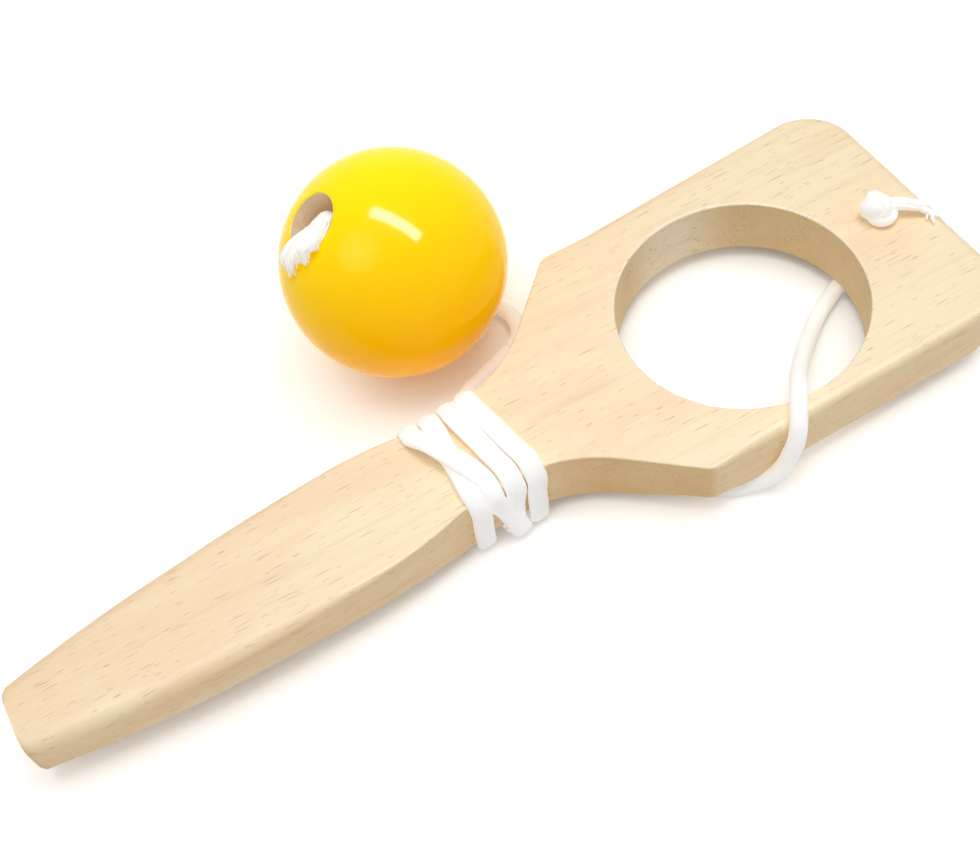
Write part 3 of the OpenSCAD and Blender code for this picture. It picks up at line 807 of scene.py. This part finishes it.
def makeBallTail(s):
    rng = random.Random(s["seed"])
    rows = s["rows"]
    lines = [smoothLine(s[k], s["step"]) for k in ("right", "middle", "left")]
    guides = [[line[round(i * (len(line) - 1) / rows)] for i in range(rows + 1)] for line in lines]
    tufts = [rng.uniform(*s["tuftReach"]) for _ in range(s["tufts"])]
    parts = []
    for k in range(s["yarns"]):
        across = (k + rng.random()) / s["yarns"]
        deep = rng.uniform(-1, 1)
        spot = across * s["tufts"]
        edge = abs(2 * (spot % 1) - 1)  # the outer yarns of a tuft are shorter
        reach = tufts[min(int(spot), len(tufts) - 1)] * (1 - s["tuftRound"] * edge ** 2) * rng.uniform(*s["yarnReach"])
        wobble, phase = rng.uniform(*s["wobble"]), rng.uniform(*s["phase"])
        first, second = guides[:2] if across < 0.5 else guides[1:]
        strand = []
        for i in range(int(rows * reach) + 1):
            f = i / rows
            p = first[i].lerp(second[i], (2 * across) % 1.0)
            thick = s["depth"] - s["depthLoss"] * f
            if f > s["outside"]:
                out = p.normalized() * (deep * thick * s["outsideDepth"])
            else:
                out = Vector((deep * thick, 0, 0))
            strand.append(p + out + Vector((0, 0, wobble * math.sin(i * s["wave"] + phase))) * f)
        parts.append(yarnParts(strand, s["r"] * rng.uniform(*s["thickness"]), s["sides"]))
    verts, faces, uvs = joinParts(parts)
    piece = meshPiece("ballTail", [put(inBall @ v) for v in verts], faces, [yarn], "ball_lead", uvs=uvs)
    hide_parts("ball_tail")
    return piece


tipTail = makeTipTail(tipTailSet)
ballTail = makeBallTail(ballTailSet)
print("knots and loose ends tied")


# paddle: one side's outline as points with their outward directions, mirrored and carried round soft edges
def arcPoints(c, r, start, end, n, face=1):
    pts = []
    for i in range(n + 1):
        a = math.radians(start + (end - start) * i / n)
        d = (math.cos(a), math.sin(a))
        pts.append(((c[0] + r * d[0], c[1] + r * d[1]), (face * d[0], face * d[1])))
    return pts


def straightRun(start, end, steps):
    (p, n), (q, _) = start, end
    shares = [k / steps for k in range(1, steps)]
    return [((p[0] + (q[0] - p[0]) * f, p[1] + (q[1] - p[1]) * f), n) for f in shares]


def tangentAngle(corner, centre, r):
    away = (centre[0] - corner[0], centre[1] - corner[1])
    return math.degrees(math.atan2(away[1], away[0]) + math.asin(r / math.hypot(*away)))


def edgeAt(x, half, upper):
    past = x + ps["shoulderBack"]
    head = (ps["headEdge"] - ps["waistEdge"]) * clamp(past / ps["edgeRun"])
    if upper:
        grip = (ps["upperEdge"] - ps["waistEdge"]) * clamp((bellyX + ps["upperAhead"] - x) / ps["upperRun"])
    else:  # the shoulders are rounded off underneath
        behind = clamp((rearC[0] - ps["lowerBehind"] - x) / ps["lowerRun"])
        grip = (ps["lowerEdge"] - ps["waistEdge"]) * math.sqrt(behind)
        near = 1 + past / ps["shoulderRise"] if past < 0 else 1 - past / ps["shoulderFall"]
        head = max(head, ps["shoulderEdge"] * ease(near))
    return min(ps["waistEdge"] + grip + head, ps["edgeLimit"] * abs(half))


def paddleSide():
    tipC = (ps["tipReach"] - ps["tipR"], ps["tipW"] / 2 - ps["tipR"])
    corner = (-ps["shoulderBack"], ps["shoulderW"] / 2)
    sideA = tangentAngle(corner, tipC, ps["tipR"])
    flareA = tangentAngle(corner, flareC, ps["flareR"]) - 180
    joinA = math.degrees(math.asin(ps["joinRun"] / ps["flareR"]))
    cut = ps["shoulderR"] * math.tan(math.radians(flareA - sideA) / 2)
    along = (math.cos(math.radians(sideA)), math.sin(math.radians(sideA)))
    shoulderC = (corner[0] + cut * along[0] + ps["shoulderR"] * along[1],
                 corner[1] + cut * along[1] - ps["shoulderR"] * along[0])
    pts = [((buttX, ps["buttW"] / 2 - ps["buttCut"]), (0, 1))]
    for i in range(ps["handleSteps"]):
        x = buttX + ps["buttCut"] + (joinX - buttX - ps["buttCut"]) * i / ps["handleSteps"]
        pts.append(((x, handleHalf(x)), (0, 1)))
    pts += arcPoints(rearC, ps["flareR"], -90 - joinA, -90, ps["joinSteps"], -1)
    pts += arcPoints(flareC, ps["flareR"], -90, -90 + flareA, ps["flareSteps"], -1)
    shoulder = arcPoints(shoulderC, ps["shoulderR"], 90 + flareA, 90 + sideA, ps["shoulderSteps"])
    tip = arcPoints(tipC, ps["tipR"], 90 + sideA, 0, ps["tipSteps"])
    cheek = straightRun(pts[-1], shoulder[0], ps["cheekSteps"])
    return pts + cheek + shoulder + straightRun(shoulder[-1], tip[0], ps["sideSteps"]) + tip


def holeRows(bm, centre, wall, count):
    turns = [2 * math.pi * j / count for j in range(count)]
    return [[bm.verts.new(put((centre[0] + r * math.cos(a), centre[1] + r * math.sin(a), z))) for a in turns]
            for r, z in wall]


def bridgeRows(bm, rows, slot, inward):
    for a, b in zip(rows, rows[1:]):
        for j in range(len(a)):
            k = (j + 1) % len(a)
            corners = (a[j], b[j], b[k], a[k]) if inward else (a[j], a[k], b[k], b[j])
            bm.faces.new(corners).material_index = slot


def makePaddle():
    side = paddleSide()
    line = side + [((p[0], -p[1]), (n[0], -n[1])) for p, n in reversed(side)]
    bm = bmesh.new()
    steps = ps["edgeSteps"]
    rings = []
    for upper, order in ((False, range(steps + 1)), (True, range(steps, -1, -1))):
        for k in order:
            a = math.pi / 2 * k / steps
            ring = []
            for p, n in line:
                r = edgeAt(p[0], p[1], upper)
                inset, drop = r * (1 - math.sin(a)), r * (1 - math.cos(a))
                z = topZ - drop if upper else lift + drop
                rear = clamp((buttX + ps["leanRun"] - p[0]) / ps["leanRun"])
                lean = ps["buttLean"] * (z - lift) / ps["thick"] * rear
                spot = (p[0] - inset * n[0] + lean, p[1] - inset * n[1] + axisOff(p[0]), z)
                ring.append(bm.verts.new(put(spot)))
            rings.append(ring)
    bridgeRows(bm, rings, 0, False)
    ringR, bevel = ps["ringD"] / 2, ps["ringBevel"]
    soft = [math.pi / 2 * k / ps["bevelSteps"] for k in range(ps["bevelSteps"] + 1)]
    ringWall = [(ringR + bevel * (1 - math.sin(a)), lift + bevel * (1 - math.cos(a))) for a in soft]
    ringWall += [(r, lift + topZ - z) for r, z in reversed(ringWall)]
    tipR, sink, lip = ps["tipHoleD"] / 2, ps["tipHoleSink"], ps["tipHoleBevel"]
    (sinkIn, sinkUp), lipMid = ps["sinkRound"], lip * ps["bevelRound"]
    tipWall = [(tipR + sink, lift), (tipR + sink * sinkIn, lift + sink * sinkUp), (tipR, lift + sink),
               (tipR, topZ - lip), (tipR + lipMid, topZ - lipMid), (tipR + lip, topZ)]
    holes = []
    for centre, wall, count, slot in (((0, -ps["ringOff"]), ringWall, ps["ringSides"], 1),
                                      ((ps["tipHoleX"], 0), tipWall, ps["tipHoleSides"], 0)):
        rows = holeRows(bm, centre, wall, count)
        bridgeRows(bm, rows, slot, True)
        holes.append(rows)
    for which in (0, -1):  # the flat underside and the flat top, with both holes left open
        edges = []
        for loop in [rings[which]] + [rows[which] for rows in holes]:
            for pair in zip(loop, loop[1:] + loop[:1]):
                edges.append(bm.edges.get(pair) or bm.edges.new(pair))
        bmesh.ops.triangle_fill(bm, use_beauty=True, use_dissolve=False, edges=edges)
    bmesh.ops.recalc_face_normals(bm, faces=bm.faces[:])
    mesh = bpy.data.meshes.new("beechPaddle")
    bm.to_mesh(mesh)
    bm.free()
    mesh.polygons.foreach_set("use_smooth", [True] * len(mesh.polygons))
    mesh.set_sharp_from_angle(angle=math.radians(ps["sharpAngle"]))
    for m in (beech, ringBeechPaintedLight):
        mesh.materials.append(m)
    piece = bpy.data.objects.new("beechPaddle", mesh)
    bpy.context.scene.collection.objects.link(piece)
    weight = piece.modifiers.new("flatFaces", "WEIGHTED_NORMAL")
    weight.keep_sharp = True
    weight.weight = ps["flatWeight"]
    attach(piece, "paddle")
    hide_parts("paddle")
    return piece


paddle = makePaddle()
print("paddle cut", len(paddle.data.polygons))


# ball, turned about its own hole
def makeBall(s):
    seatR, holeR, bevel, edge = s["seatD"] / 2, s["holeD"] / 2, s["bevel"], s["edge"]
    low = math.pi - math.asin((holeR + edge) / ballR)
    high = math.asin((seatR + bevel) / ballR)
    exitZ = -math.sqrt(ballR ** 2 - holeR ** 2)
    boreEnd = exitZ + s["exitRun"]
    profile = [(holeR, boreEnd), (holeR + s["exitFlare"], exitZ + edge)]
    for k in range(s["faceSteps"] + 1):
        a = low + (high - low) * k / s["faceSteps"]
        profile.append((ballR * math.sin(a), ballR * math.cos(a)))
    rimZ = ballR * math.cos(high)
    wallTop, wallEnd, boreTop = rimZ - edge, seatZ + s["seatCorner"], seatZ - edge
    profile += [(seatR + bevel * share, rimZ - drop) for share, drop in s["rimRound"]] + [(seatR, wallTop)]
    lacquerEnd = len(profile) - 2
    for k in range(1, s["seatSteps"] + 1):
        profile.append((seatR, wallTop + (wallEnd - wallTop) * k / s["seatSteps"]))
    profile.append((seatR - s["seatCorner"], seatZ))
    profile += [(holeR + out, seatZ - drop) for out, drop in s["boreRound"]] + [(holeR, boreTop)]
    for k in range(1, s["boreSteps"]):
        profile.append((holeR, boreTop + (boreEnd - boreTop) * k / s["boreSteps"]))
    sides, n = s["sides"], len(profile)
    verts, faces, slots = [], [], []
    for r, z in profile:
        for j in range(sides):
            a = 2 * math.pi * j / sides
            verts.append(put(inBall @ Vector((r * math.cos(a), r * math.sin(a), z))))
    for i in range(n):
        after = (i + 1) % n
        for j in range(sides):
            k = (j + 1) % sides
            faces.append((i * sides + j, i * sides + k, after * sides + k, after * sides + j))
            slots.append(0 if 1 <= i < lacquerEnd else 1)
    piece = meshPiece("lacquerBall", verts, faces, [lacquer, boreWood], "ball", faceSlots=slots)
    piece.data.set_sharp_from_angle(angle=math.radians(s["sharpAngle"]))
    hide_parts("ball")
    return piece


lacquer = lacquerMaterial(lacquerSet)
ball = makeBall(ballSet)
print("ball turned", len(ball.data.polygons))

# studio: a white table, a broad softbox overhead, and a long and a round one that only the ball's gloss shows
lightSet = {
    "ambient": 0.47,
    "tableTone": (0.89, 0.89, 0.89, 1), "tableHalf": 3,
    "tableGlow": (1.0, 0.94, 0.88, 1),
    "glowNear": 0.36, "glowFar": 0.66, "glowReach": (0.25, 1.4),  # metres from the middle: the far table stays white
    # painted shade: the table's glow is cut down in narrow gaps and beside near parts
    "narrowReach": 0.04, "narrowRays": 8, "narrowSky": (0.15, 0.5), "narrowGlow": 0.12,  # narrow gaps stay darker
    "key": {"at": (40, 20, 900), "aim": (-40, 10, 10), "long": (1, 0, 0), "size": (760, 460), "watts": 4.2},
    "streak": {"at": (138, -45, 898), "aim": (-53.6, 43.2, 23.5), "long": (0.53, -0.852, -0.186), "rings": [
        ((860, 175), 19), ((800, 125), 11), ((720, 80), 7)]},
    "glow": {"at": (-537, -84, 772), "aim": (-53.6, 43.2, 23.5), "long": (0, 1, 0), "rings": [
        ((640, 640), 2.8), ((500, 500), 1.7), ((340, 340), 0.8), ((150, 150), 0.8)]},
}


def areaLight(name, s, size, watts, shape="RECTANGLE", mirrorOnly=False):
    data = bpy.data.lights.new(name, "AREA")
    data.shape = shape
    data.size, data.size_y = size[0] * mm, size[1] * mm
    data.energy = watts
    lamp = bpy.data.objects.new(name, data)
    at, aim = put(s["at"]), put(s["aim"])
    back = (at - aim).normalized()
    along = Vector(s["long"])
    along = (along - back * along.dot(back)).normalized()
    lamp.matrix_world = Matrix.Translation(at) @ Matrix((along, back.cross(along), back)).transposed().to_4x4()
    lamp.visible_diffuse = not mirrorOnly
    lamp.visible_glossy = mirrorOnly
    bpy.context.scene.collection.objects.link(lamp)


def raySeen(t, kinds, at):
    path = addNode(t, "ShaderNodeLightPath", (at[0] - 200, at[1]))
    seen = path.outputs[kinds[0]]
    for k, kind in enumerate(kinds[1:]):
        seen = mathNode(t, "MAXIMUM", seen, path.outputs[kind], at=(at[0] + 150 * k, at[1]))
    return seen


def makeWorld(s):
    world = bpy.data.worlds.new("studioWhite")
    bpy.context.scene.world = world
    world.use_nodes = True
    t = world.node_tree
    t.nodes.clear()
    out = addNode(t, "ShaderNodeOutputWorld", (600, 0))
    sky = addNode(t, "ShaderNodeBackground", (300, 0))
    setIn(sky, Color=(1, 1, 1, 1))
    seen = raySeen(t, ("Is Camera Ray", "Is Glossy Ray", "Is Transmission Ray"), (-200, 0))
    wire(t, rangeNode(t, seen, 0, 1, s["ambient"], 1.0, at=(100, 0), smooth=False), sky.inputs["Strength"])
    wire(t, sky.outputs[0], out.inputs["Surface"])


def makeTable(s):
    m, t, out = emptyMaterial("whiteTable")
    base = addNode(t, "ShaderNodeBsdfDiffuse", (100, 100))
    setIn(base, Color=s["tableTone"])
    glow = addNode(t, "ShaderNodeEmission", (100, -100))
    setIn(glow, Color=s["tableGlow"])
    seen = raySeen(t, ("Is Camera Ray", "Is Glossy Ray"), (-200, -100))
    away = addNode(t, "ShaderNodeVectorMath", (-400, -350), operation="LENGTH")
    wire(t, addNode(t, "ShaderNodeTexCoord", (-600, -350)).outputs["Object"], away.inputs[0])
    level = rangeNode(t, away.outputs["Value"], *s["glowReach"], s["glowNear"], s["glowFar"], at=(-200, -350))
    # painted shade: where near parts hem the table in, its glow drops
    gapOcclusion = addNode(t, "ShaderNodeAmbientOcclusion", (-400, -600), samples=s["narrowRays"])
    setIn(gapOcclusion, Distance=s["narrowReach"])
    paintedGapShade = rangeNode(t, gapOcclusion.outputs["AO"], *s["narrowSky"], s["narrowGlow"], 1.0, at=(-200, -600))
    level = mathNode(t, "MULTIPLY", level, paintedGapShade, at=(-100, -350))
    wire(t, mathNode(t, "MULTIPLY", seen, level, at=(-50, -100)), glow.inputs["Strength"])
    both = addNode(t, "ShaderNodeAddShader", (400, 0))
    wire(t, base.outputs[0], both.inputs[0])
    wire(t, glow.outputs[0], both.inputs[1])
    wire(t, both.outputs[0], out.inputs["Surface"])
    h = s["tableHalf"]
    mesh = bpy.data.meshes.new("whiteTable")
    mesh.from_pydata([(-h, -h, 0), (h, -h, 0), (h, h, 0), (-h, h, 0)], [], [(0, 1, 2, 3)])
    mesh.materials.append(m)
    table = bpy.data.objects.new("whiteTable", mesh)
    bpy.context.scene.collection.objects.link(table)


def buildStudio(s):
    makeWorld(s)
    makeTable(s)
    areaLight("keySoftbox", s["key"], s["key"]["size"], s["key"]["watts"])
    for name, shape in (("streak", "RECTANGLE"), ("glow", "DISK")):  # nested, so that the reflection's edge is soft
        for k, (size, watts) in enumerate(s[name]["rings"]):
            areaLight(name + "Softbox" + str(k), s[name], size, watts, shape, mirrorOnly=True)
    bpy.context.scene.view_settings.view_transform = "Standard"


buildStudio(lightSet)
print("studio lit")
